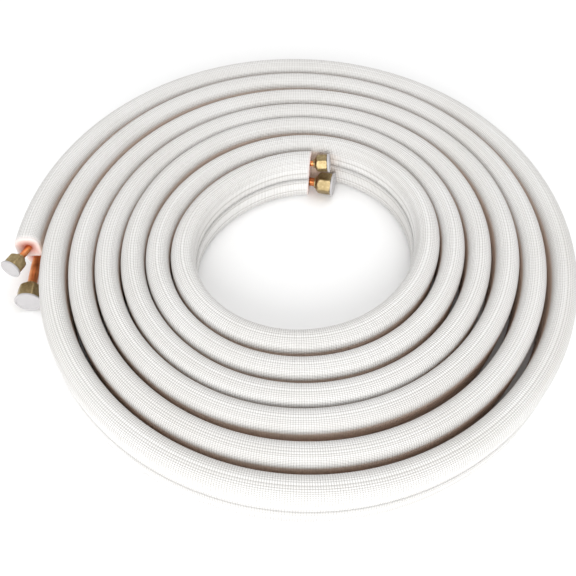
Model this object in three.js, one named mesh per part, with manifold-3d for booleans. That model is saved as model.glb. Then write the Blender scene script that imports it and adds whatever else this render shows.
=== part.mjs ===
// A coiled pair of insulated copper lines for a small split air conditioner.
// The two foam-covered pipes lie one above the other in a flat spiral, and every end has a capped flare nut.
// Units are millimetres, +Z is up, and the coil lies on z = 0.
import * as THREE from "three";
import { mergeVertices } from "three/addons/utils/BufferGeometryUtils.js";
import Module from "manifold-3d";

// Pipes: annealed copper, outside diameter and wall
const LIQUID_PIPE_DIAMETER = 6.35;
const SUCTION_PIPE_DIAMETER = 9.52;
const LIQUID_PIPE_WALL = 0.8;
const SUCTION_PIPE_WALL = 0.8;

// Foam sleeves
const LIQUID_FOAM_WALL = 9.5;
const SUCTION_FOAM_WALL = 9.5;
const PIPE_CLEARANCE = 0.3;
const SLEEVE_CLEARANCE = 0.3;

// Coil: the line is wound clockwise inwards, and the winding presses both sleeves to one width
const COIL_RADIUS = 282.5;
const TURNS = 6.28;
const START_AZIMUTH = 180;
const PRESSED_WIDTH = 23.1;
const OUTER_TURN_SHIFT = 6.6;
const OUTER_TURN_SHIFT_AZIMUTH = 26;
const OUTER_TURN_OVAL = 7;
const OUTER_TURN_OVAL_AZIMUTH = 80;

// Open space from each turn to the next one in, at four directions, a quarter turn apart, from the left
const FIRST_GAP_AZIMUTH = 197;
const TURN_GAPS = [
  [5.5, 6, 5, 5.5],
  [3, 10, 2, 7.5],
  [2, 4.5, 5.5, 1],
  [2, 1.5, 3, 4],
  [1, 9.5, 1.5, 5],
  [1.5, 5, 1, 1],
];

// Line ends: foam cut back, bare length of pipe, and the pipe's turn away from the coil and down, in degrees
const LINE_ENDS = {
  liquid_outer: { cutBack: 0, bare: 12, splay: 25, dip: -3 },
  suction_outer: { cutBack: 12.5, bare: 24, splay: 0, dip: 0 },
  liquid_inner: { cutBack: 0, bare: 2, splay: 3, dip: -8 },
  suction_inner: { cutBack: 0, bare: 5, splay: -6, dip: -4 },
};
const BEND_LENGTH = 4;

// Flare nuts, measured from the pipe side: neck, cone and hexagon
const LIQUID_NUT = {
  acrossFlats: 17, neckDiameter: 9.6, neckLength: 1.5, coneLength: 5, hexLength: 9,
  threadDiameter: 9.8, threadLength: 8, flareDiameter: 9,
};
const SUCTION_NUT = {
  acrossFlats: 22, neckDiameter: 13.4, neckLength: 1.5, coneLength: 6.5, hexLength: 11.5,
  threadDiameter: 14.2, threadLength: 10, flareDiameter: 13,
};
const NUT_CHAMFER_LENGTH = 0.9;
const NUT_CHAMFER_DEPTH = 1.5;
const NUT_CLEARANCE = 0.3;

// Plastic caps: a dished disc with a rim, and a plug in the nut's mouth
const CAP_OVERHANG = 0.6;
const CAP_THICKNESS = 2.4;
const CAP_RIM_WIDTH = 2;
const CAP_RIM_HEIGHT = 0.6;
const CAP_PLUG_LENGTH = 3;

// Facets
const STATIONS_PER_TURN = 20;
const SLEEVE_SIDES = 12;
const PIPE_SIDES = 8;
const BORE_SIDES = 6;
const ROUND_SIDES = 18;
const HEXAGON_SIDES = 6;

// Numerical margins
const MERGE_DISTANCE = 1e-5;
const STEP_MARGIN = 1e-6;

const wasm = await Module();
wasm.setup();

const UP = new THREE.Vector3(0, 0, 1);
const GAPS = TURN_GAPS.flat();
const GAPS_PER_TURN = TURN_GAPS[0].length;
const GAP_LEAD = (FIRST_GAP_AZIMUTH - START_AZIMUTH) / 360;

const LIQUID = line(LIQUID_PIPE_DIAMETER, LIQUID_PIPE_WALL, LIQUID_FOAM_WALL);
const SUCTION = line(SUCTION_PIPE_DIAMETER, SUCTION_PIPE_WALL, SUCTION_FOAM_WALL);
SUCTION.height = SUCTION.sleeveRadius;
LIQUID.height = 2 * SUCTION.sleeveRadius + SLEEVE_CLEARANCE + LIQUID.sleeveRadius;

function line(diameter, wall, foamWall) {
  const pipeRadius = diameter / 2;
  const boreRadius = pipeRadius + PIPE_CLEARANCE;
  return { pipeRadius, wall, boreRadius, sleeveRadius: boreRadius + foamWall };
}

function radians(degrees) {
  return THREE.MathUtils.degToRad(degrees);
}

// Space between a turn and the next one in, eased between the listed directions
function turnGap(turn) {
  const place = THREE.MathUtils.clamp((turn + GAP_LEAD) * GAPS_PER_TURN, 0, GAPS.length - 1);
  const index = Math.min(Math.floor(place), GAPS.length - 2);
  const share = THREE.MathUtils.smoothstep(place, index, index + 1);
  return Math.max(THREE.MathUtils.lerp(GAPS[index], GAPS[index + 1], share), SLEEVE_CLEARANCE);
}

function turnSpacing(turn) {
  return PRESSED_WIDTH + turnGap(turn);
}

function azimuthOf(turn) {
  return radians(START_AZIMUTH - 360 * turn);
}

// Radius of the line's middle: the outer turn is set, and each turn inside it follows by its spacing
function coilRadius(turn) {
  const whole = Math.floor(turn);
  const part = turn - whole;
  const azimuth = azimuthOf(part);
  let radius = COIL_RADIUS - turnSpacing(0) * part;
  radius += OUTER_TURN_SHIFT * Math.cos(azimuth - radians(OUTER_TURN_SHIFT_AZIMUTH));
  radius += OUTER_TURN_OVAL * Math.cos(2 * (azimuth - radians(OUTER_TURN_OVAL_AZIMUTH)));
  for (let inner = 0; inner < whole; inner += 1) {
    radius -= turnSpacing(part + inner);
  }
  return radius;
}

// Turns that a length along the line covers at a place on the coil
function turnsAlong(length, turn) {
  return length / (2 * Math.PI * coilRadius(turn));
}

// Where the sections stand: the two ends, and the whole steps between them
function stationTurns(start, end) {
  const turns = [start];
  const firstStep = Math.floor(start * STATIONS_PER_TURN) + 1;
  for (let step = firstStep; step < end * STATIONS_PER_TURN; step += 1) {
    turns.push(step / STATIONS_PER_TURN);
  }
  turns.push(end);
  return turns;
}

// Middle of the line on the straight chord between whole steps, so that neighbouring turns stay parallel
function coilPoint(turn, height) {
  const step = Math.floor(turn * STATIONS_PER_TURN + STEP_MARGIN);
  const start = step / STATIONS_PER_TURN;
  const end = (step + 1) / STATIONS_PER_TURN;
  const share = Math.max(turn - start, 0) * STATIONS_PER_TURN;
  return ringPoint(start, height).lerp(ringPoint(end, height), share);
}

function ringPoint(turn, height) {
  const radius = coilRadius(turn);
  const azimuth = azimuthOf(turn);
  return new THREE.Vector3(radius * Math.cos(azimuth), radius * Math.sin(azimuth), height);
}

// A section frame: its middle, the outward side, the upper side, and the scale of the section there
function frame(origin, side, upper, scale = 1) {
  return { origin, side, upper, scale };
}

function coilFrame(turn, height) {
  const origin = coilPoint(turn, height);
  const side = new THREE.Vector3(origin.x, origin.y, 0).normalize();
  return frame(origin, side, UP.clone());
}

function frameAcross(origin, travel, scale = 1) {
  const side = new THREE.Vector3().crossVectors(UP, travel).normalize();
  const upper = new THREE.Vector3().crossVectors(travel, side).normalize();
  return frame(origin, side, upper, scale);
}

// Polygon whose flats lie on the circle, with one flat straight down
function flatPolygon(radius, sides) {
  const corner = radius / Math.cos(Math.PI / sides);
  return cornerPolygon(corner, sides);
}

function cornerPolygon(radius, sides) {
  const points = [];
  for (let index = 0; index < sides; index += 1) {
    const angle = ((index + 0.5) * 2 * Math.PI) / sides;
    points.push(new THREE.Vector2(radius * Math.cos(angle), radius * Math.sin(angle)));
  }
  return points;
}

// Hollow section carried through the frames: it is extruded one unit for each frame, then laid on them
function sweep(outline, hole, frames) {
  const section = new THREE.Shape(outline);
  section.holes.push(new THREE.Path(hole));
  const steps = frames.length - 1;
  const geometry = new THREE.ExtrudeGeometry(section, { depth: steps, steps, bevelEnabled: false });
  const position = geometry.attributes.position;
  for (let index = 0; index < position.count; index += 1) {
    const at = frames[Math.round(position.getZ(index))];
    const across = position.getX(index) * at.scale;
    const above = position.getY(index) * at.scale;
    const point = at.origin.clone().addScaledVector(at.side, across).addScaledVector(at.upper, above);
    position.setXYZ(index, point.x, point.y, point.z);
  }
  return asClosed(geometry);
}

function asClosed(geometry) {
  geometry.deleteAttribute("normal");
  geometry.deleteAttribute("uv");
  const merged = mergeVertices(geometry, MERGE_DISTANCE);
  merged.computeVertexNormals();
  return merged;
}

// Foam sleeve: a round section, pressed to the coil's common width
function sleeveGeometry(pipe, outerCut, innerCut) {
  const start = turnsAlong(outerCut, 0);
  const end = TURNS - turnsAlong(innerCut, TURNS);
  const frames = stationTurns(start, end).map((turn) => coilFrame(turn, pipe.height));
  const outline = flatPolygon(pipe.sleeveRadius, SLEEVE_SIDES);
  for (const point of outline) {
    point.x *= PRESSED_WIDTH / (2 * pipe.sleeveRadius);
  }
  return sweep(outline, flatPolygon(pipe.boreRadius, BORE_SIDES), frames);
}

// The bare end of a pipe: it bends a little where the coil ends, runs straight and opens to its flare
function pipeEnd(pipe, nut, end, turn, outward) {
  const start = coilFrame(turn, pipe.height);
  const tangent = new THREE.Vector3().crossVectors(start.side, UP).multiplyScalar(outward);
  const splay = radians(end.splay);
  const dip = radians(end.dip);
  const direction = tangent.clone().multiplyScalar(Math.cos(splay));
  direction.addScaledVector(start.side, Math.sin(splay));
  direction.multiplyScalar(Math.cos(dip)).addScaledVector(UP, -Math.sin(dip)).normalize();
  const corner = start.origin.clone().addScaledVector(tangent, BEND_LENGTH / 2);
  const mid = tangent.clone().add(direction).normalize();
  const after = corner.clone().addScaledVector(direction, BEND_LENGTH / 2);
  const tip = corner.clone().addScaledVector(direction, end.bare + nutSeat(nut));
  const flareRise = nut.flareDiameter / 2 - pipe.pipeRadius;
  const flareStart = tip.clone().addScaledVector(direction, -flareRise);
  const frames = [
    frameAcross(corner.clone(), mid.multiplyScalar(outward)),
    frameAcross(after, direction.clone().multiplyScalar(outward)),
    frameAcross(flareStart, direction.clone().multiplyScalar(outward)),
    frameAcross(tip, direction.clone().multiplyScalar(outward), nut.flareDiameter / (2 * pipe.pipeRadius)),
  ];
  return { frames, tip, direction };
}

// Distance from the nut's pipe side to the mouth of the flare inside it
function nutSeat(nut) {
  const length = nut.neckLength + nut.coneLength + nut.hexLength;
  return length - nut.threadLength;
}

function pipeGeometry(pipe, outer, inner) {
  const coil = stationTurns(0, TURNS).map((turn) => coilFrame(turn, pipe.height));
  const frames = [...outer.frames.slice().reverse(), ...coil, ...inner.frames];
  const outline = cornerPolygon(pipe.pipeRadius, PIPE_SIDES);
  return sweep(outline, cornerPolygon(pipe.pipeRadius - pipe.wall, BORE_SIDES), frames);
}

function lathe(profile) {
  const points = profile.map(([radius, height]) => new THREE.Vector2(radius, height));
  const geometry = asClosed(new THREE.LatheGeometry(points, ROUND_SIDES));
  return geometry.rotateX(Math.PI / 2);
}

function toManifold(geometry) {
  const vertProperties = new Float32Array(geometry.attributes.position.array);
  const triVerts = new Uint32Array(geometry.index.array);
  return new wasm.Manifold(new wasm.Mesh({ numProp: 3, vertProperties, triVerts }));
}

function fromManifold(solid) {
  const mesh = solid.getMesh();
  const geometry = new THREE.BufferGeometry();
  geometry.setAttribute("position", new THREE.BufferAttribute(mesh.vertProperties, 3));
  geometry.setIndex(new THREE.BufferAttribute(mesh.triVerts, 1));
  geometry.computeVertexNormals();
  return geometry;
}

// Flare nut along +Z from its pipe side: a turned blank with its bores, cut to a hexagon
function nutGeometry(pipe, nut) {
  const seat = nutSeat(nut);
  const length = seat + nut.threadLength;
  const cornerRadius = nut.acrossFlats / 2 / Math.cos(Math.PI / HEXAGON_SIDES);
  const passage = (pipe.pipeRadius + NUT_CLEARANCE) / Math.cos(Math.PI / ROUND_SIDES);
  const thread = nut.threadDiameter / 2;
  const coneStart = seat - (nut.flareDiameter / 2 - pipe.pipeRadius) - NUT_CLEARANCE;
  const blank = lathe([
    [passage, 0],
    [nut.neckDiameter / 2, 0],
    [nut.neckDiameter / 2, nut.neckLength],
    [cornerRadius, nut.neckLength + nut.coneLength],
    [cornerRadius, length - NUT_CHAMFER_LENGTH],
    [cornerRadius - NUT_CHAMFER_DEPTH, length],
    [thread, length],
    [thread, coneStart + thread - passage],
    [passage, coneStart],
    [passage, 0],
  ]);
  const prism = new THREE.CylinderGeometry(cornerRadius, cornerRadius, 2 * length, HEXAGON_SIDES);
  prism.rotateX(Math.PI / 2).translate(0, 0, length / 2);
  return fromManifold(toManifold(blank).intersect(toManifold(asClosed(prism))));
}

// Cap along +Z from the nut's mouth: its plug reaches back into the thread
function capGeometry(nut) {
  const cornerRadius = nut.acrossFlats / 2 / Math.cos(Math.PI / HEXAGON_SIDES);
  const discRadius = cornerRadius + CAP_OVERHANG;
  const plugRadius = nut.threadDiameter / 2 - NUT_CLEARANCE;
  const face = CAP_THICKNESS - CAP_RIM_HEIGHT;
  return lathe([
    [0, -CAP_PLUG_LENGTH],
    [plugRadius, -CAP_PLUG_LENGTH],
    [plugRadius, 0],
    [discRadius, 0],
    [discRadius, CAP_THICKNESS],
    [discRadius - CAP_RIM_WIDTH, CAP_THICKNESS],
    [discRadius - CAP_RIM_WIDTH, face],
    [0, face],
  ]);
}

function named(name, geometry, material) {
  const mesh = new THREE.Mesh(geometry, material);
  mesh.name = name;
  return mesh;
}

function foam() {
  return new THREE.MeshStandardMaterial({ color: 0xebe9e6, roughness: 0.75, metalness: 0 });
}

function copper() {
  return new THREE.MeshStandardMaterial({ color: 0xc8692f, roughness: 0.35, metalness: 1 });
}

function brass() {
  return new THREE.MeshStandardMaterial({ color: 0xb08d4c, roughness: 0.35, metalness: 1 });
}

function plastic() {
  return new THREE.MeshStandardMaterial({ color: 0xe4e1e3, roughness: 0.5, metalness: 0 });
}

// A nut and its cap, set on the pipe's tip
function fittings(name, pipe, nut, end) {
  const group = new THREE.Group();
  group.position.copy(end.tip).addScaledVector(end.direction, -nutSeat(nut));
  const side = new THREE.Vector3().crossVectors(UP, end.direction).normalize();
  const upper = new THREE.Vector3().crossVectors(end.direction, side);
  group.quaternion.setFromRotationMatrix(new THREE.Matrix4().makeBasis(side, upper, end.direction));
  group.add(named(`${name}_flare_nut`, nutGeometry(pipe, nut), brass()));
  const cap = named(`${name}_cap`, capGeometry(nut), plastic());
  cap.position.z = nutSeat(nut) + nut.threadLength + NUT_CLEARANCE;
  group.add(cap);
  return group;
}

function insulatedLine(name, pipe, nut) {
  const outerEnd = LINE_ENDS[`${name}_outer`];
  const innerEnd = LINE_ENDS[`${name}_inner`];
  const outer = pipeEnd(pipe, nut, outerEnd, 0, -1);
  const inner = pipeEnd(pipe, nut, innerEnd, TURNS, 1);
  const group = new THREE.Group();
  group.add(named(`${name}_pipe`, pipeGeometry(pipe, outer, inner), copper()));
  group.add(named(`${name}_sleeve`, sleeveGeometry(pipe, outerEnd.cutBack, innerEnd.cutBack), foam()));
  group.add(fittings(`${name}_outer`, pipe, nut, outer));
  group.add(fittings(`${name}_inner`, pipe, nut, inner));
  return group;
}

const coil = new THREE.Group();
coil.add(insulatedLine("liquid", LIQUID, LIQUID_NUT));
coil.add(insulatedLine("suction", SUCTION, SUCTION_NUT));

// The origin is the middle of the coil's box, on the floor
const middle = new THREE.Box3().setFromObject(coil).getCenter(new THREE.Vector3());
coil.position.set(-middle.x, -middle.y, 0);

const lineSet = new THREE.Group();
lineSet.add(coil);

export default lineSet;
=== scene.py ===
"""Coiled twin line set: two foam-covered copper pipes in a flat spiral, with capped flare nuts."""
import math

import bpy
import numpy as np
from mathutils import Matrix, Vector


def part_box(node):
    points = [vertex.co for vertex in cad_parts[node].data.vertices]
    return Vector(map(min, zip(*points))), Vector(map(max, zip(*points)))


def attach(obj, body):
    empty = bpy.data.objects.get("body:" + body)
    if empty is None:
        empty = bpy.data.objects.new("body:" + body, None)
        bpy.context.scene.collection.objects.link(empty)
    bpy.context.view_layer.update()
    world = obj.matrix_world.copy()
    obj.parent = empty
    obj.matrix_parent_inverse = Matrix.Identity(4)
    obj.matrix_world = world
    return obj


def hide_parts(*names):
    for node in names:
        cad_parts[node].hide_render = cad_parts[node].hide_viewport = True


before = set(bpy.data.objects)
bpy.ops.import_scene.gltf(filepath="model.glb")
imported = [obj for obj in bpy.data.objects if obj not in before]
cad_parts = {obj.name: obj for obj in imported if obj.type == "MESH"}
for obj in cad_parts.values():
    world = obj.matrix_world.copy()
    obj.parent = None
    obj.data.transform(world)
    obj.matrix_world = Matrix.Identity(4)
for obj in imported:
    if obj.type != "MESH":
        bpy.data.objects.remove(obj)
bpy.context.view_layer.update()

# Line, in metres, as in the part's source
CLEARANCE = 0.0003
LIQUID = {"name": "liquid", "pipe": 0.003175, "wall": 0.0008, "bore": 0.003475, "sleeve": 0.012975}
SUCTION = {"name": "suction", "pipe": 0.00476, "wall": 0.0008, "bore": 0.00506, "sleeve": 0.01456}
SUCTION["height"] = SUCTION["sleeve"]
LIQUID["height"] = 2 * SUCTION["sleeve"] + CLEARANCE + LIQUID["sleeve"]

# Coil, as in the part's source
COIL_RADIUS = 0.2825
TURNS = 6.28
START_AZIMUTH = math.radians(180)
PRESSED_WIDTH = 0.0231
OUTER_TURN_SHIFT = 0.0066
OUTER_TURN_SHIFT_AZIMUTH = math.radians(26)
OUTER_TURN_OVAL = 0.007
OUTER_TURN_OVAL_AZIMUTH = math.radians(80)
CAD_STATIONS_PER_TURN = 20

# Open space from each turn to the next one in, at four directions, a quarter turn apart, from the left
FIRST_GAP_AZIMUTH = math.radians(197)
TURN_GAPS = [
    [0.0055, 0.006, 0.005, 0.0055],
    [0.003, 0.010, 0.002, 0.0075],
    [0.002, 0.0045, 0.0055, 0.001],
    [0.002, 0.0015, 0.003, 0.004],
    [0.001, 0.0095, 0.0015, 0.005],
    [0.0015, 0.005, 0.001, 0.001],
]
GAPS_PER_TURN = 4
GAP_LEAD = (FIRST_GAP_AZIMUTH - START_AZIMUTH) / (2 * math.pi)
GAPS = np.array(TURN_GAPS).ravel()

# Line ends, as in the part's source: foam cut back, bare pipe, turn away from the coil and down
LINE_ENDS = {
    "liquid_outer": {"cut_back": 0.0, "bare": 0.012, "splay": 25, "dip": -3},
    "suction_outer": {"cut_back": 0.0125, "bare": 0.024, "splay": 0, "dip": 0},
    "liquid_inner": {"cut_back": 0.0, "bare": 0.002, "splay": 3, "dip": -8},
    "suction_inner": {"cut_back": 0.0, "bare": 0.005, "splay": -6, "dip": -4},
}
BEND_LENGTH = 0.004

# Flare nuts, as in the part's source; a notch is a mark in the rim of the nut's cap
LIQUID_NUT = {
    "across_flats": 0.017, "neck": 0.0048, "neck_length": 0.0015, "cone_length": 0.005,
    "hex_length": 0.009, "thread": 0.0049, "thread_length": 0.008, "flare": 0.0045, "notch": 0.0,
}
SUCTION_NUT = {
    "across_flats": 0.022, "neck": 0.0067, "neck_length": 0.0015, "cone_length": 0.0065,
    "hex_length": 0.0115, "thread": 0.0071, "thread_length": 0.010, "flare": 0.0065, "notch": 0.0009,
}
HEXAGON_SIDES = 6
NUT_CHAMFER_LENGTH = 0.0009
NUT_CHAMFER_DEPTH = 0.0015
CORNER_BREAK = 0.0003
CONE_STEPS = 10
CONE_SWELL = 0.9
NUT_CREASE_ANGLE = math.radians(24)

# Caps, as in the part's source
CAP_OVERHANG = 0.0006
CAP_THICKNESS = 0.0024
CAP_RIM_WIDTH = 0.002
CAP_RIM_HEIGHT = 0.0006
CAP_PLUG_LENGTH = 0.003
CAP_PLUG_TIP = 0.92
CAP_PLUG_SHOULDER = 0.85
CAP_EDGE = 0.0005
CAP_EDGE_STEPS = 4
CAP_DISH = 0.5
NOTCH_ANGLE = math.radians(7)
CAP_CREASE_ANGLE = math.radians(40)
ROUND_STEPS = 96

# Sleeve section: full width where nothing presses it, roundness as the power of a superellipse
STATIONS_PER_TURN = 260
SLEEVE_SIDES = 44
BORE_SIDES = 14
BORE_STEP = 6
FREE_WIDTH = 0.0255
FREE_EASING = 0.05
TOP_ROUNDNESS = 2.7
BOTTOM_ROUNDNESS = 3.0
FACING_ROUNDNESS = 14.0
FACING_REACH = 0.00013

# Pinches on the inside of the bend: waves per turn, and their share of the half width
TIGHT_START = 2.2
TIGHT_TURNS = 3
FINE_PINCHES = {"rates": (61.3, 83.7, 97.1), "sizes": (0.010, 0.008, 0.006)}
SLOW_PINCHES = {"rates": (3.1, 7.3, 11.9), "sizes": (0.008, 0.006, 0.004)}
SLOW_PINCH_SHARE = 0.6
PINCH_SEEDS = {"liquid": 3, "suction": 8}

# Cut foam ends: rounded edge, and the value that tells skin edge, face and bore apart
CUT_INSET = 0.86
CUT_BULGE = 0.0007
CUT_LEAST_BULGE = 0.4
CUT_EDGE_VALUE = 0.35
CUT_FACE_VALUE = 0.6
CUT_BORE_VALUE = 1.0

# Painted shade between the turns, in brown: share of the sleeve's height and width where it fades out
GAP_FADE_HEIGHT = 0.42
GAP_FADE_WIDTH = 0.25

# Pipe surface
PIPE_STATIONS_PER_TURN = 48
PIPE_SIDES = 20
BEND_STEPS = 6
FLARE_MIDDLE = 0.4

# Foam look
EMBOSS_ALONG = 0.0021
EMBOSS_ROUND = 0.0019
EMBOSS_SHARPNESS = 0.6
EMBOSS_DEPTH = 0.0006
EMBOSS_STRENGTH = 0.9
# Painted shade in the grooves of the embossed grid: its lines darker than its pillows
GROOVE_SHADE_STOPS = [(0.0, (0.42, 0.405, 0.385)), (0.4, (0.80, 0.79, 0.775)), (1.0, (0.88, 0.875, 0.865))]
MOTTLE_SCALE = 14.0
MOTTLE_STOPS = [(0.3, (0.95, 0.945, 0.935)), (0.7, (1.0, 1.0, 1.0))]
STREAK_STRETCH = (1.5, 420.0, 1.0)
STREAK_STOPS = [(0.42, (0.93, 0.925, 0.92)), (0.56, (1.0, 1.0, 1.0))]
# Pink of the cut foam; the dark red towards the bore is painted shade in the hollow
CUT_STOPS = [(0.0, (0.87, 0.86, 0.85)), (0.6, (0.82, 0.66, 0.62)), (1.0, (0.62, 0.24, 0.18))]
CUT_SHARE = 3.0
# Painted shade between the turns: its brown colour and how far it is mixed in
PAINTED_GAP_SHADE = (0.74, 0.57, 0.46, 1.0)
GAP_SHADE_SHARE = 0.94
FOLD_STRETCH = (230.0, 45.0, 1.0)
FOLD_DEPTH = 0.0016
FOLD_STRENGTH = 0.55
LUMP_SCALE = 80.0
LUMP_DEPTH = 0.0006
LUMP_STRENGTH = 0.3
FINE_DETAIL = 2.0
FOAM_DETAIL = 3.0
FOAM_ROUGHNESS = 0.5

# Looks of the other materials: noise, relief, roughness (also as a range along the noise) and colours
COPPER_LOOK = {
    "name": "drawn_copper", "scale": 120.0, "detail": 4.0, "depth": 0.0002, "strength": 0.4,
    "metallic": 1.0, "roughness": (0.26, 0.44),
    "stops": [(0.3, (0.50, 0.17, 0.06)), (0.6, (0.78, 0.30, 0.11)), (0.8, (0.88, 0.43, 0.20))],
}
BRASS_LOOK = {
    "name": "satin_brass", "scale": 260.0, "detail": 4.0, "depth": 0.0002, "strength": 0.35,
    "metallic": 1.0, "roughness": 0.46,
    "stops": [(0.3, (0.27, 0.20, 0.095)), (0.65, (0.44, 0.345, 0.19)), (0.9, (0.58, 0.47, 0.29))],
}
CAP_LOOK = {
    "name": "white_cap_plastic", "scale": 70.0, "detail": 3.0, "depth": 0.0004, "strength": 0.3,
    "metallic": 0.0, "roughness": 0.38,
    "stops": [(0.3, (0.44, 0.43, 0.435)), (0.7, (0.50, 0.485, 0.49))],
}
FLOOR_COLOR = (0.95, 0.95, 0.95, 1)
FLOOR_ROUGHNESS = 0.8

# Camera, in the coil's own frame
CAMERA_PLACE = (-0.0457, -0.4681, 0.575)
CAMERA_YAW = math.radians(4.59)
CAMERA_PITCH = math.radians(52.59)
CAMERA_ROLL = math.radians(1.72)
FOCAL_PIXELS = 694.2
FRAME_PIXELS = 576
SENSOR_WIDTH = 36
CAMERA_NEAR = 0.01

# Studio
WORLD_COLOR = (1, 1, 1, 1)
WORLD_STRENGTH = 0.81
LIGHTS = {
    "front": {"place": (-0.3, -2.2, 1.1), "size": 1.6, "power": 42},
    "top": {"place": (0.3, 0.4, 2.0), "size": 1.4, "power": 7},
}
FLOOR_HALF_SIZE = 6.0


def smooth(share):
    return share * share * (3 - 2 * share)


def turn_gap(turn):
    """Space between a turn and the next one in, eased between the listed directions."""
    place = np.clip((turn + GAP_LEAD) * GAPS_PER_TURN, 0, len(GAPS) - 1)
    index = np.minimum(np.floor(place).astype(int), len(GAPS) - 2)
    share = smooth(place - index)
    return np.maximum(GAPS[index] * (1 - share) + GAPS[index + 1] * share, CLEARANCE)


def turn_spacing(turn):
    return PRESSED_WIDTH + turn_gap(turn)


def azimuth_of(turn):
    return START_AZIMUTH - 2 * math.pi * turn


def coil_radius(turn):
    """Radius of the line's middle at each turn value of an array."""
    turn = np.asarray(turn, dtype=float)
    whole = np.floor(turn)
    part = turn - whole
    azimuth = azimuth_of(part)
    radius = COIL_RADIUS - turn_spacing(np.zeros_like(turn)) * part
    radius = radius + OUTER_TURN_SHIFT * np.cos(azimuth - OUTER_TURN_SHIFT_AZIMUTH)
    radius = radius + OUTER_TURN_OVAL * np.cos(2 * (azimuth - OUTER_TURN_OVAL_AZIMUTH))
    for inner in range(math.ceil(TURNS)):
        radius = radius - np.where(whole > inner, turn_spacing(part + inner), 0)
    return radius


def turns_along(length, turn):
    """Turns that a length along the line covers at a place on the coil."""
    return length / (2 * math.pi * float(coil_radius(turn)))


def sleeve_span(line):
    """First and last turn value that a sleeve covers."""
    outer = LINE_ENDS[line["name"] + "_outer"]["cut_back"]
    inner = LINE_ENDS[line["name"] + "_inner"]["cut_back"]
    return turns_along(outer, 0), TURNS - turns_along(inner, TURNS)


def coil_axis():
    """Where the coil's axis stands, from the box of the upper sleeve's CAD stations."""
    start, end = sleeve_span(LIQUID)
    steps = np.arange(start, end, 1 / CAD_STATIONS_PER_TURN)
    turn = np.concatenate([steps, [end]])
    azimuth = azimuth_of(turn)
    outer = coil_radius(turn) + PRESSED_WIDTH / 2
    low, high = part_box("liquid_sleeve")
    across = outer * np.cos(azimuth)
    along = outer * np.sin(azimuth)
    return np.array([
        (low[0] + high[0] - across.min() - across.max()) / 2,
        (low[1] + high[1] - along.min() - along.max()) / 2,
        0.0,
    ])


AXIS = coil_axis()


def add_camera():
    """Camera at the photograph's viewing angle, with no lens shift."""
    data = bpy.data.cameras.new("camera")
    data.sensor_width = SENSOR_WIDTH
    data.lens = FOCAL_PIXELS / FRAME_PIXELS * SENSOR_WIDTH
    data.clip_start = CAMERA_NEAR
    camera = bpy.data.objects.new("camera", data)
    bpy.context.scene.collection.objects.link(camera)
    look = Vector((
        math.sin(CAMERA_YAW) * math.cos(CAMERA_PITCH),
        math.cos(CAMERA_YAW) * math.cos(CAMERA_PITCH),
        -math.sin(CAMERA_PITCH),
    ))
    level = Vector((math.cos(CAMERA_YAW), -math.sin(CAMERA_YAW), 0))
    upper = level.cross(look)
    right = level * math.cos(CAMERA_ROLL) + upper * math.sin(CAMERA_ROLL)
    above = right.cross(look)
    turn = Matrix((right, above, -look)).transposed().to_4x4()
    place = Vector(CAMERA_PLACE) + Vector(AXIS)
    camera.matrix_world = Matrix.Translation(place) @ turn
    bpy.context.scene.camera = camera


def mesh_object(name, vertices, faces, material, smooth_faces=True):
    mesh = bpy.data.meshes.new(name)
    mesh.from_pydata([tuple(vertex) for vertex in vertices], [], faces)
    mesh.update()
    if smooth_faces:
        mesh.polygons.foreach_set("use_smooth", [True] * len(mesh.polygons))
    mesh.materials.append(material)
    piece = bpy.data.objects.new(name, mesh)
    bpy.context.scene.collection.objects.link(piece)
    return piece


def stand_for(piece, node):
    """The piece rides on the one body and takes the place of a CAD node."""
    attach(piece, "root")
    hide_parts(node)


def add_values(piece, name, *parts):
    """One value per vertex, from the parts in the order of the mesh's vertices."""
    layer = piece.data.attributes.new(name, "FLOAT", "POINT")
    layer.data.foreach_set("value", np.concatenate(parts).astype(np.float32))


def waves(turn, seed, rates, sizes):
    """Slow unevenness along the line, as a sum of sines with seeded phases."""
    phases = np.random.default_rng(seed).uniform(0, 2 * math.pi, len(rates))
    total = np.zeros_like(turn)
    for rate, size, phase in zip(rates, sizes, phases):
        total = total + size * np.sin(2 * math.pi * rate * turn + phase)
    return total


def tight_bend(turn):
    """From 0 on the wide outer turns to 1 on the inner ones."""
    return smooth(np.clip((turn - TIGHT_START) / TIGHT_TURNS, 0, 1))


def outer_neighbour(turn):
    """1 where another turn lies outside this one."""
    return smooth(np.clip((turn - 1) / FREE_EASING, 0, 1))


def inner_neighbour(turn):
    """1 where another turn lies inside this one."""
    return smooth(np.clip((TURNS - 1 - turn) / FREE_EASING + 1, 0, 1))


def sleeve_section(line, turn, around):
    """Sleeve outline at each station: flat towards the other sleeve, fuller where nothing presses it."""
    upper_line = line["name"] == "liquid"
    free_power = TOP_ROUNDNESS if upper_line else BOTTOM_ROUNDNESS
    free = (np.sin(around) >= 0) == upper_line
    power = 2 / np.where(free, free_power, FACING_ROUNDNESS)
    across = np.sign(np.cos(around)) * np.abs(np.cos(around)) ** power
    above = np.sign(np.sin(around)) * np.abs(np.sin(around)) ** power
    spare = (FREE_WIDTH - PRESSED_WIDTH) / 2
    outside = PRESSED_WIDTH / 2 + spare * (1 - outer_neighbour(turn))
    inside = PRESSED_WIDTH / 2 + spare * (1 - inner_neighbour(turn))
    width = np.where(across[None, :] > 0, outside[:, None], inside[:, None])
    reach = np.where(free, line["sleeve"], line["sleeve"] + FACING_REACH)
    return width * across[None, :], (reach * above)[None, :] * np.ones((len(turn), 1))


def wrinkles(turn, around, seed):
    """Small pinches of the foam on the inside of the bend, stronger on the tight inner turns."""
    inside = np.clip(-np.cos(around), 0, 1)[None, :] ** 2
    tight = tight_bend(turn)[:, None]
    fine = waves(turn, seed, **FINE_PINCHES)[:, None]
    slow = waves(turn, seed + 1, **SLOW_PINCHES)[:, None]
    return inside * (np.abs(fine) * tight + np.abs(slow) * SLOW_PINCH_SHARE)


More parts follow.
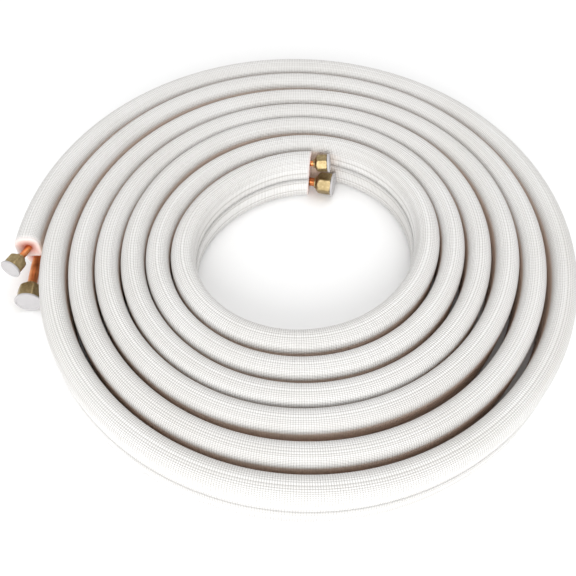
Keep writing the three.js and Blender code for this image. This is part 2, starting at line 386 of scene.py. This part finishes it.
def gap_shade_depth(line, turn, around, above):
    """How deep a point lies between neighbouring turns, from 0 in the open to 1: the mask of the painted
    shade there.
    """
    if line["name"] == "liquid":
        low = smooth(np.clip((GAP_FADE_HEIGHT - above / line["sleeve"]) / GAP_FADE_HEIGHT, 0, 1))
    else:
        low = np.ones_like(above)
    outward = np.clip(np.cos(around) / GAP_FADE_WIDTH, 0, 1)[None, :] * outer_neighbour(turn)[:, None]
    inward = np.clip(-np.cos(around) / GAP_FADE_WIDTH, 0, 1)[None, :] * inner_neighbour(turn)[:, None]
    return low * (outward + inward)


def line_length(turn):
    """Length along the line at each station."""
    radius = coil_radius(turn)
    azimuth = azimuth_of(turn)
    steps = np.hypot(np.diff(radius * np.cos(azimuth)), np.diff(radius * np.sin(azimuth)))
    return np.concatenate([[0.0], np.cumsum(steps)])


def coil_points(turn, across, above, height):
    """Points beside the line's middle: one row for each turn value."""
    azimuth = azimuth_of(turn)[:, None]
    reach = coil_radius(turn)[:, None] + across
    points = np.stack([reach * np.cos(azimuth), reach * np.sin(azimuth), height + above], axis=-1)
    return points + AXIS


def line_middle(line, turn):
    flat = np.zeros((len(turn), 1))
    return coil_points(turn, flat, flat, line["height"])[:, 0]


def ring_numbers(start, count):
    return list(range(start, start + count))


def tube_faces(stations, sides, start, inward=False):
    """Faces along a row of rings, whose vertices begin at a start number."""
    faces = []
    for station in range(stations - 1):
        for side in range(sides):
            nearer = start + station * sides
            further = nearer + sides
            after = (side + 1) % sides
            face = (nearer + side, nearer + after, further + after, further + side)
            faces.append(face[::-1] if inward else face)
    return faces


def loop_faces(rings, sides):
    """Faces of a row of rings whose last ring joins the first."""
    faces = []
    for ring in range(rings):
        following = (ring + 1) % rings
        for side in range(sides):
            after = (side + 1) % sides
            faces.append((
                ring * sides + side, ring * sides + after,
                following * sides + after, following * sides + side,
            ))
    return faces


def join_rings(outer, inner, flip):
    """Triangles between two rings with different numbers of points."""
    faces = []
    many = len(outer)
    few = len(inner)
    taken_outer = 0
    taken_inner = 0
    while taken_outer < many or taken_inner < few:
        next_outer = (taken_outer + 1) / many
        next_inner = (taken_inner + 1) / few
        corner = inner[taken_inner % few]
        if taken_inner >= few or (taken_outer < many and next_outer <= next_inner):
            face = (outer[taken_outer % many], outer[(taken_outer + 1) % many], corner)
            taken_outer += 1
        else:
            face = (outer[taken_outer % many], inner[(taken_inner + 1) % few], corner)
            taken_inner += 1
        faces.append(face if flip else face[::-1])
    return faces


def cut_ring(ring, middle, travel, seed):
    """The rounded edge of a cut foam end: a smaller ring, pushed out a little and uneven."""
    along = travel / np.linalg.norm(travel)
    uneven = np.random.default_rng(seed).uniform(CUT_LEAST_BULGE, 1.0, len(ring))[:, None]
    return middle + (ring - middle) * CUT_INSET + along * CUT_BULGE * uneven


def sleeve_bore(line, turn):
    """Rings of the hole for the pipe."""
    around = (np.arange(BORE_SIDES) + 0.5) * 2 * math.pi / BORE_SIDES
    across = line["bore"] * np.tile(np.cos(around), (len(turn), 1))
    above = line["bore"] * np.tile(np.sin(around), (len(turn), 1))
    return coil_points(turn, across, above, line["height"])


def sleeve_faces(count, bore_count):
    """Faces of the skin, the bore and the two cut ends."""
    bore_start = count * SLEEVE_SIDES
    first_start = bore_start + bore_count * BORE_SIDES
    last_start = first_start + SLEEVE_SIDES
    first_cut = ring_numbers(first_start, SLEEVE_SIDES)
    last_cut = ring_numbers(last_start, SLEEVE_SIDES)
    faces = tube_faces(count, SLEEVE_SIDES, 0)
    faces += tube_faces(bore_count, BORE_SIDES, bore_start, inward=True)
    faces += join_rings(ring_numbers(0, SLEEVE_SIDES), first_cut, False)
    faces += join_rings(first_cut, ring_numbers(bore_start, BORE_SIDES), False)
    faces += join_rings(ring_numbers(bore_start - SLEEVE_SIDES, SLEEVE_SIDES), last_cut, True)
    faces += join_rings(last_cut, ring_numbers(first_start - BORE_SIDES, BORE_SIDES), True)
    return faces


def make_sleeve(line, material):
    """Embossed foam sleeve: outer skin, bore and rounded cut ends, as one closed mesh."""
    start, end = sleeve_span(line)
    count = int((end - start) * STATIONS_PER_TURN / BORE_STEP) * BORE_STEP + 1
    turn = np.linspace(start, end, count)
    around = (np.arange(SLEEVE_SIDES) + 0.5) * 2 * math.pi / SLEEVE_SIDES
    across, above = sleeve_section(line, turn, around)
    seed = PINCH_SEEDS[line["name"]]
    skin = coil_points(turn, across * (1 - wrinkles(turn, around, seed)), above, line["height"])
    bore = sleeve_bore(line, turn[::BORE_STEP])
    middle = line_middle(line, turn)
    first_cut = cut_ring(skin[0], middle[0], middle[0] - middle[1], seed)
    last_cut = cut_ring(skin[-1], middle[-1], middle[-1] - middle[-2], seed + 1)
    vertices = np.concatenate([skin.reshape(-1, 3), bore.reshape(-1, 3), first_cut, last_cut])
    piece = mesh_object(line["name"] + "_foam", vertices, sleeve_faces(count, len(bore)), material)
    add_line_coordinates(piece, line_length(turn), line["sleeve"], count)

    bore_count = len(bore) * BORE_SIDES
    hidden = np.zeros(bore_count + 2 * SLEEVE_SIDES)
    edges = np.zeros((count, SLEEVE_SIDES))
    edges[[0, -1]] = CUT_EDGE_VALUE
    bore_values = np.full(bore_count, CUT_BORE_VALUE)
    face_values = np.full(2 * SLEEVE_SIDES, CUT_FACE_VALUE)
    # Mask of the painted shade between the turns, one value per vertex
    add_values(piece, "gap_shade_depth", gap_shade_depth(line, turn, around, above).ravel(), hidden)
    add_values(piece, "cut_end", edges.ravel(), bore_values, face_values)
    add_values(piece, "crease", np.repeat(tight_bend(turn), SLEEVE_SIDES), hidden)
    stand_for(piece, line["name"] + "_sleeve")


def add_line_coordinates(piece, length, radius, count):
    """UV map in metres: U runs along the line and V round it."""
    layer = piece.data.uv_layers.new(name="along_and_round")
    values = np.zeros((len(piece.data.loops), 2), dtype=np.float32)
    stations = np.repeat(np.arange(count - 1), SLEEVE_SIDES)
    sides = np.tile(np.arange(SLEEVE_SIDES), count - 1)
    side_length = 2 * math.pi * radius / SLEEVE_SIDES
    for corner, (along, across) in enumerate(((0, 0), (0, 1), (1, 1), (1, 0))):
        rows = np.arange(len(stations)) * 4 + corner
        values[rows, 0] = length[stations + along]
        values[rows, 1] = (sides + across) * side_length
    layer.data.foreach_set("uv", values.ravel())


def nut_length(nut):
    return nut["neck_length"] + nut["cone_length"] + nut["hex_length"]


def nut_seat(nut):
    """Distance from the nut's pipe side to the mouth of the flare inside it."""
    return nut_length(nut) - nut["thread_length"]


def nut_corner(nut):
    """Distance from the nut's axis to its corners."""
    return nut["across_flats"] / 2 / math.cos(math.pi / HEXAGON_SIDES)


def end_geometry(line, nut, name, turn, outward):
    """Where a bare pipe end runs: its start, the bend's corner, the direction and the tip."""
    end = LINE_ENDS[name]
    azimuth = float(azimuth_of(turn))
    radius = float(coil_radius(turn))
    side = np.array([math.cos(azimuth), math.sin(azimuth), 0.0])
    up = np.array([0.0, 0.0, 1.0])
    start = side * radius + up * line["height"] + AXIS
    tangent = np.cross(side, up) * outward
    splay = math.radians(end["splay"])
    dip = math.radians(end["dip"])
    direction = tangent * math.cos(splay) + side * math.sin(splay)
    direction = direction * math.cos(dip) - up * math.sin(dip)
    direction = direction / np.linalg.norm(direction)
    corner = start + tangent * BEND_LENGTH / 2
    tip = corner + direction * (end["bare"] + nut_seat(nut))
    return {"start": start, "corner": corner, "direction": direction, "tip": tip}


def bend_points(start, corner, finish):
    """A smooth bend from start to finish round its corner."""
    share = (np.arange(1, BEND_STEPS + 1) / BEND_STEPS)[:, None]
    return start * (1 - share) ** 2 + corner * 2 * share * (1 - share) + finish * share ** 2


def end_stations(line, nut, end):
    """Centres and radii of a bare end, from the coil outwards, with its flare."""
    rise = nut["flare"] - line["pipe"]
    bend = bend_points(end["start"], end["corner"], end["corner"] + end["direction"] * BEND_LENGTH / 2)
    back = end["direction"] * rise
    flare = np.array([end["tip"] - back, end["tip"] - back / 2, end["tip"]])
    straight = np.full(BEND_STEPS + 1, line["pipe"])
    radii = np.concatenate([straight, [line["pipe"] + rise * FLARE_MIDDLE, nut["flare"]]])
    return np.concatenate([bend, flare]), radii


def unit_rows(vectors):
    return vectors / np.linalg.norm(vectors, axis=1)[:, None]


def make_pipe(line, nut, outer, inner, material):
    """Copper pipe through the whole coil, hollow, with both bare ends and their flares."""
    turn = np.linspace(0, TURNS, int(TURNS * PIPE_STATIONS_PER_TURN))
    outer_centres, outer_radii = end_stations(line, nut, outer)
    inner_centres, inner_radii = end_stations(line, nut, inner)
    centres = np.concatenate([outer_centres[::-1], line_middle(line, turn), inner_centres])
    radii = np.concatenate([outer_radii[::-1], np.full(len(turn), line["pipe"]), inner_radii])
    travel = np.gradient(centres, axis=0)
    side = unit_rows(np.cross([0.0, 0.0, 1.0], travel))
    upper = unit_rows(np.cross(travel, side))
    around = np.arange(PIPE_SIDES) * 2 * math.pi / PIPE_SIDES
    ring = side[:, None] * np.cos(around)[None, :, None] + upper[:, None] * np.sin(around)[None, :, None]
    outside = centres[:, None] + ring * radii[:, None, None]
    inside = centres[:, None] + ring * (radii - line["wall"])[:, None, None]
    vertices = np.concatenate([outside, inside[::-1]]).reshape(-1, 3)
    piece = mesh_object(line["name"] + "_tube", vertices, loop_faces(2 * len(centres), PIPE_SIDES), material)
    stand_for(piece, line["name"] + "_pipe")


def turned_rings(profile, origin, direction, shape):
    """Rings of a turned profile along a direction; shape may change a ring's radius by angle."""
    side = np.cross([0.0, 0.0, 1.0], direction)
    side = side / np.linalg.norm(side)
    upper = np.cross(direction, side)
    around = np.arange(ROUND_STEPS) * 2 * math.pi / ROUND_STEPS
    spread = side[None, :] * np.cos(around)[:, None] + upper[None, :] * np.sin(around)[:, None]
    rings = []
    for radius, height in profile:
        reach = shape(np.full(ROUND_STEPS, radius), height, around)
        rings.append(origin + direction * height + spread * reach[:, None])
    return np.concatenate(rings)


def nut_profile(line, nut):
    """Radius and height round the nut: pipe side, bell, hexagon, thread and flare seat."""
    length = nut_length(nut)
    neck = nut["neck"]
    corner = nut_corner(nut)
    shoulder = nut["neck_length"] + nut["cone_length"]
    passage = line["pipe"] + CLEARANCE
    flare_start = nut_seat(nut) - (nut["flare"] - line["pipe"]) - CLEARANCE
    profile = [(passage, 0.0), (neck - CORNER_BREAK, 0.0), (neck, CORNER_BREAK), (neck, nut["neck_length"])]
    for step in range(1, CONE_STEPS + 1):
        share = step / CONE_STEPS
        swell = math.sin(share * math.pi / 2) ** CONE_SWELL
        profile.append((neck + (corner - neck) * swell, nut["neck_length"] + nut["cone_length"] * share))
    profile += [
        (corner, (shoulder + length) / 2),
        (corner, length - NUT_CHAMFER_LENGTH),
        (corner - NUT_CHAMFER_DEPTH / 2, length - NUT_CHAMFER_LENGTH / 3),
        (corner - NUT_CHAMFER_DEPTH, length),
        (nut["thread"], length),
        (nut["thread"], flare_start + nut["thread"] - passage),
        (passage, flare_start),
    ]
    return profile


def make_nut(line, nut, name, end, material):
    """Flare nut: a bell-shaped neck that runs out into a hexagon with turned corners."""
    side_angle = 2 * math.pi / HEXAGON_SIDES

    def hexagon(reach, height, around):
        wrapped = np.mod(around, side_angle) - side_angle / 2
        flats = np.minimum(nut["across_flats"] / 2 / np.cos(wrapped), nut_corner(nut) - CORNER_BREAK)
        return np.minimum(reach, flats)

    profile = nut_profile(line, nut)
    origin = end["tip"] - end["direction"] * nut_seat(nut)
    points = turned_rings(profile, origin, end["direction"], hexagon)
    piece = mesh_object(name + "_hexagon_nut", points, loop_faces(len(profile), ROUND_STEPS), material)
    piece.data.set_sharp_from_angle(angle=NUT_CREASE_ANGLE)
    stand_for(piece, name + "_flare_nut")


def cap_profile(nut):
    """Radius and height of the cap, from the plug's tip to the middle of the face."""
    disc = nut_corner(nut) + CAP_OVERHANG
    rim = disc - CAP_RIM_WIDTH
    plug = nut["thread"] - CLEARANCE
    face = CAP_THICKNESS - CAP_RIM_HEIGHT
    profile = [
        (plug * CAP_PLUG_TIP, -CAP_PLUG_LENGTH),
        (plug, -CAP_PLUG_LENGTH * CAP_PLUG_SHOULDER),
        (plug, 0.0),
        (disc - CAP_EDGE, 0.0),
    ]
    for step in range(CAP_EDGE_STEPS + 1):
        angle = step / CAP_EDGE_STEPS * math.pi / 2
        radius = disc - CAP_EDGE * (1 - math.cos(angle))
        profile.append((radius, CAP_THICKNESS - CAP_EDGE * (1 - math.sin(angle))))
    profile += [
        (rim + CAP_EDGE, CAP_THICKNESS),
        (rim, CAP_THICKNESS - CAP_RIM_HEIGHT / 3),
        (rim - CAP_EDGE / 2, face),
        (rim * CAP_DISH, face),
    ]
    return profile


def make_cap(nut, name, end, material):
    """Moulded cap: a disc with a rounded raised rim, two small notches and a plug in the nut."""
    rim = nut_corner(nut) + CAP_OVERHANG - CAP_RIM_WIDTH
    face = CAP_THICKNESS - CAP_RIM_HEIGHT

    def notched(reach, height, around):
        if height < face - CAP_EDGE or reach[0] > rim + CAP_EDGE / 2 or reach[0] < rim - CAP_EDGE:
            return reach
        away = np.abs(np.mod(around + math.pi / 2, math.pi) - math.pi / 2)
        return reach + nut["notch"] * np.exp(-((away / NOTCH_ANGLE) ** 2))

    profile = cap_profile(nut)
    direction = end["direction"]
    origin = end["tip"] + direction * (nut["thread_length"] + CLEARANCE)
    points = turned_rings(profile, origin, direction, notched)
    ends = np.array([origin - direction * CAP_PLUG_LENGTH, origin + direction * face])
    faces = tube_faces(len(profile), ROUND_STEPS, 0)
    back = len(points)
    front = back + 1
    for side in range(ROUND_STEPS):
        after = (side + 1) % ROUND_STEPS
        faces.append((back, after, side))
        faces.append((front, back - ROUND_STEPS + side, back - ROUND_STEPS + after))
    piece = mesh_object(name + "_moulded_cap", np.concatenate([points, ends]), faces, material)
    piece.data.set_sharp_from_angle(angle=CAP_CREASE_ANGLE)
    stand_for(piece, name + "_cap")


def new_material(name):
    material = bpy.data.materials.new(name)
    material.use_nodes = True
    return material


def shader_of(material):
    return material.node_tree.nodes["Principled BSDF"]


def feed(links, socket, value):
    """Sets a plain value on a socket, or links a node's output to it."""
    if isinstance(value, (int, float, tuple)):
        socket.default_value = value
    else:
        links.new(value, socket)


def math_node(nodes, links, operation, *values):
    node = nodes.new("ShaderNodeMath")
    node.operation = operation
    for socket, value in zip(node.inputs, values):
        feed(links, socket, value)
    return node.outputs[0]


def ramp_node(nodes, links, value, stops):
    node = nodes.new("ShaderNodeValToRGB")
    elements = node.color_ramp.elements
    while len(elements) < len(stops):
        elements.new(1.0)
    for element, (position, color) in zip(elements, stops):
        element.position = position
        element.color = (*color, 1.0)
    links.new(value, node.inputs["Fac"])
    return node.outputs["Color"]


def noise_node(nodes, links, vector, scale, detail):
    node = nodes.new("ShaderNodeTexNoise")
    node.inputs["Scale"].default_value = scale
    node.inputs["Detail"].default_value = detail
    links.new(vector, node.inputs["Vector"])
    return node.outputs["Fac"]


def bump_node(nodes, links, height, distance, strength, normal=None):
    node = nodes.new("ShaderNodeBump")
    node.inputs["Distance"].default_value = distance
    feed(links, node.inputs["Strength"], strength)
    links.new(height, node.inputs["Height"])
    if normal is not None:
        links.new(normal, node.inputs["Normal"])
    return node.outputs["Normal"]


def mix_node(nodes, links, share, first, second, blend="MIX"):
    node = nodes.new("ShaderNodeMix")
    node.data_type = "RGBA"
    node.blend_type = blend
    for name, value in (("Factor", share), ("A", first), ("B", second)):
        feed(links, node.inputs[name], value)
    return node.outputs["Result"]


def range_node(nodes, links, value, low, high):
    node = nodes.new("ShaderNodeMapRange")
    node.inputs["To Min"].default_value = low
    node.inputs["To Max"].default_value = high
    links.new(value, node.inputs["Value"])
    return node.outputs["Result"]


def value_node(nodes, name):
    node = nodes.new("ShaderNodeAttribute")
    node.attribute_name = name
    return node.outputs["Fac"]


def stretched(nodes, links, vector, scale):
    node = nodes.new("ShaderNodeMapping")
    node.inputs["Scale"].default_value = scale
    links.new(vector, node.inputs["Vector"])
    return node.outputs["Vector"]


def emboss_grid(nodes, links, along_round):
    """Pillows of the embossed grid, from 0 in its lines to 1 between them."""
    split = nodes.new("ShaderNodeSeparateXYZ")
    links.new(along_round, split.inputs[0])
    grid = []
    for axis, cell in (("X", EMBOSS_ALONG), ("Y", EMBOSS_ROUND)):
        turned = math_node(nodes, links, "MULTIPLY", split.outputs[axis], math.pi / cell)
        wave = math_node(nodes, links, "ABSOLUTE", math_node(nodes, links, "SINE", turned))
        grid.append(math_node(nodes, links, "POWER", wave, EMBOSS_SHARPNESS))
    return math_node(nodes, links, "MULTIPLY", grid[0], grid[1])


def foam_color(nodes, links, along_round, place, pillow):
    """Off-white film, pink at the cut ends and brown painted shade between the turns."""
    # Painted shade: the grid's lines darker than the pillows between them
    groove_shade = ramp_node(nodes, links, pillow, GROOVE_SHADE_STOPS)
    mottle = noise_node(nodes, links, place, MOTTLE_SCALE, FOAM_DETAIL)
    color = mix_node(nodes, links, 1.0, groove_shade, ramp_node(nodes, links, mottle, MOTTLE_STOPS), "MULTIPLY")
    lines = noise_node(nodes, links, stretched(nodes, links, along_round, STREAK_STRETCH), 1.0, FINE_DETAIL)
    color = mix_node(nodes, links, 1.0, color, ramp_node(nodes, links, lines, STREAK_STOPS), "MULTIPLY")
    # Cut ends: pink foam, darker red in the bore as painted shade
    cut = value_node(nodes, "cut_end")
    is_cut = math_node(nodes, links, "MINIMUM", math_node(nodes, links, "MULTIPLY", cut, CUT_SHARE), 1.0)
    color = mix_node(nodes, links, is_cut, color, ramp_node(nodes, links, cut, CUT_STOPS))
    # Painted shade: brown mixed in where a point lies deep between the turns
    depth = math_node(nodes, links, "MULTIPLY", value_node(nodes, "gap_shade_depth"), GAP_SHADE_SHARE)
    return mix_node(nodes, links, depth, color, PAINTED_GAP_SHADE)


def foam_material():
    """White film over foam: a fine embossed grid, creased on the inner turns."""
    material = new_material("embossed_foam")
    nodes = material.node_tree.nodes
    links = material.node_tree.links
    shader = shader_of(material)
    coordinates = nodes.new("ShaderNodeUVMap")
    coordinates.uv_map = "along_and_round"
    along_round = coordinates.outputs["UV"]
    place = nodes.new("ShaderNodeTexCoord").outputs["Object"]
    pillow = emboss_grid(nodes, links, along_round)
    links.new(foam_color(nodes, links, along_round, place, pillow), shader.inputs["Base Color"])
    folds = noise_node(nodes, links, stretched(nodes, links, along_round, FOLD_STRETCH), 1.0, FOAM_DETAIL)
    crease = math_node(nodes, links, "MULTIPLY", value_node(nodes, "crease"), FOLD_STRENGTH)
    relief = bump_node(nodes, links, folds, FOLD_DEPTH, crease)
    lumps = noise_node(nodes, links, place, LUMP_SCALE, FINE_DETAIL)
    relief = bump_node(nodes, links, lumps, LUMP_DEPTH, LUMP_STRENGTH, relief)
    relief = bump_node(nodes, links, pillow, EMBOSS_DEPTH, EMBOSS_STRENGTH, relief)
    links.new(relief, shader.inputs["Normal"])
    shader.inputs["Roughness"].default_value = FOAM_ROUGHNESS
    return material


def clouded_material(look):
    """A material whose colour and relief follow one fine noise."""
    material = new_material(look["name"])
    nodes = material.node_tree.nodes
    links = material.node_tree.links
    shader = shader_of(material)
    place = nodes.new("ShaderNodeTexCoord").outputs["Object"]
    cloud = noise_node(nodes, links, place, look["scale"], look["detail"])
    roughness = look["roughness"]
    if isinstance(roughness, tuple):
        roughness = range_node(nodes, links, cloud, *roughness)
    links.new(ramp_node(nodes, links, cloud, look["stops"]), shader.inputs["Base Color"])
    links.new(bump_node(nodes, links, cloud, look["depth"], look["strength"]), shader.inputs["Normal"])
    feed(links, shader.inputs["Roughness"], roughness)
    shader.inputs["Metallic"].default_value = look["metallic"]
    return material


def floor_material():
    material = new_material("pale_floor")
    shader_of(material).inputs["Base Color"].default_value = FLOOR_COLOR
    shader_of(material).inputs["Roughness"].default_value = FLOOR_ROUGHNESS
    return material


def add_floor():
    size = FLOOR_HALF_SIZE
    vertices = [(-size, -size, 0), (size, -size, 0), (size, size, 0), (-size, size, 0)]
    mesh_object("floor", vertices, [(0, 1, 2, 3)], floor_material(), smooth_faces=False)


def add_light(name, light_plan):
    data = bpy.data.lights.new(name, "AREA")
    data.shape = "DISK"
    data.size = light_plan["size"]
    data.energy = light_plan["power"]
    light = bpy.data.objects.new(name, data)
    light.location = light_plan["place"]
    light.rotation_euler = (-Vector(light_plan["place"])).to_track_quat("-Z", "Y").to_euler()
    bpy.context.scene.collection.objects.link(light)


def add_studio():
    world = bpy.data.worlds.new("studio")
    world.use_nodes = True
    background = world.node_tree.nodes["Background"]
    background.inputs["Color"].default_value = WORLD_COLOR
    background.inputs["Strength"].default_value = WORLD_STRENGTH
    bpy.context.scene.world = world
    for name, light_plan in LIGHTS.items():
        add_light(name, light_plan)
    bpy.context.scene.view_settings.view_transform = "Standard"


def make_line(line, nut, foam, copper, brass, plastic):
    """One line of the pair: sleeve, pipe, and a capped nut at each end."""
    ends = {
        line["name"] + "_outer": end_geometry(line, nut, line["name"] + "_outer", 0, -1),
        line["name"] + "_inner": end_geometry(line, nut, line["name"] + "_inner", TURNS, 1),
    }
    make_sleeve(line, foam)
    make_pipe(line, nut, *ends.values(), copper)
    for name, end in ends.items():
        make_nut(line, nut, name, end, brass)
        make_cap(nut, name, end, plastic)


add_camera()
add_floor()
add_studio()
foam = foam_material()
copper = clouded_material(COPPER_LOOK)
brass = clouded_material(BRASS_LOOK)
plastic = clouded_material(CAP_LOOK)
make_line(LIQUID, LIQUID_NUT, foam, copper, brass, plastic)
make_line(SUCTION, SUCTION_NUT, foam, copper, brass, plastic)
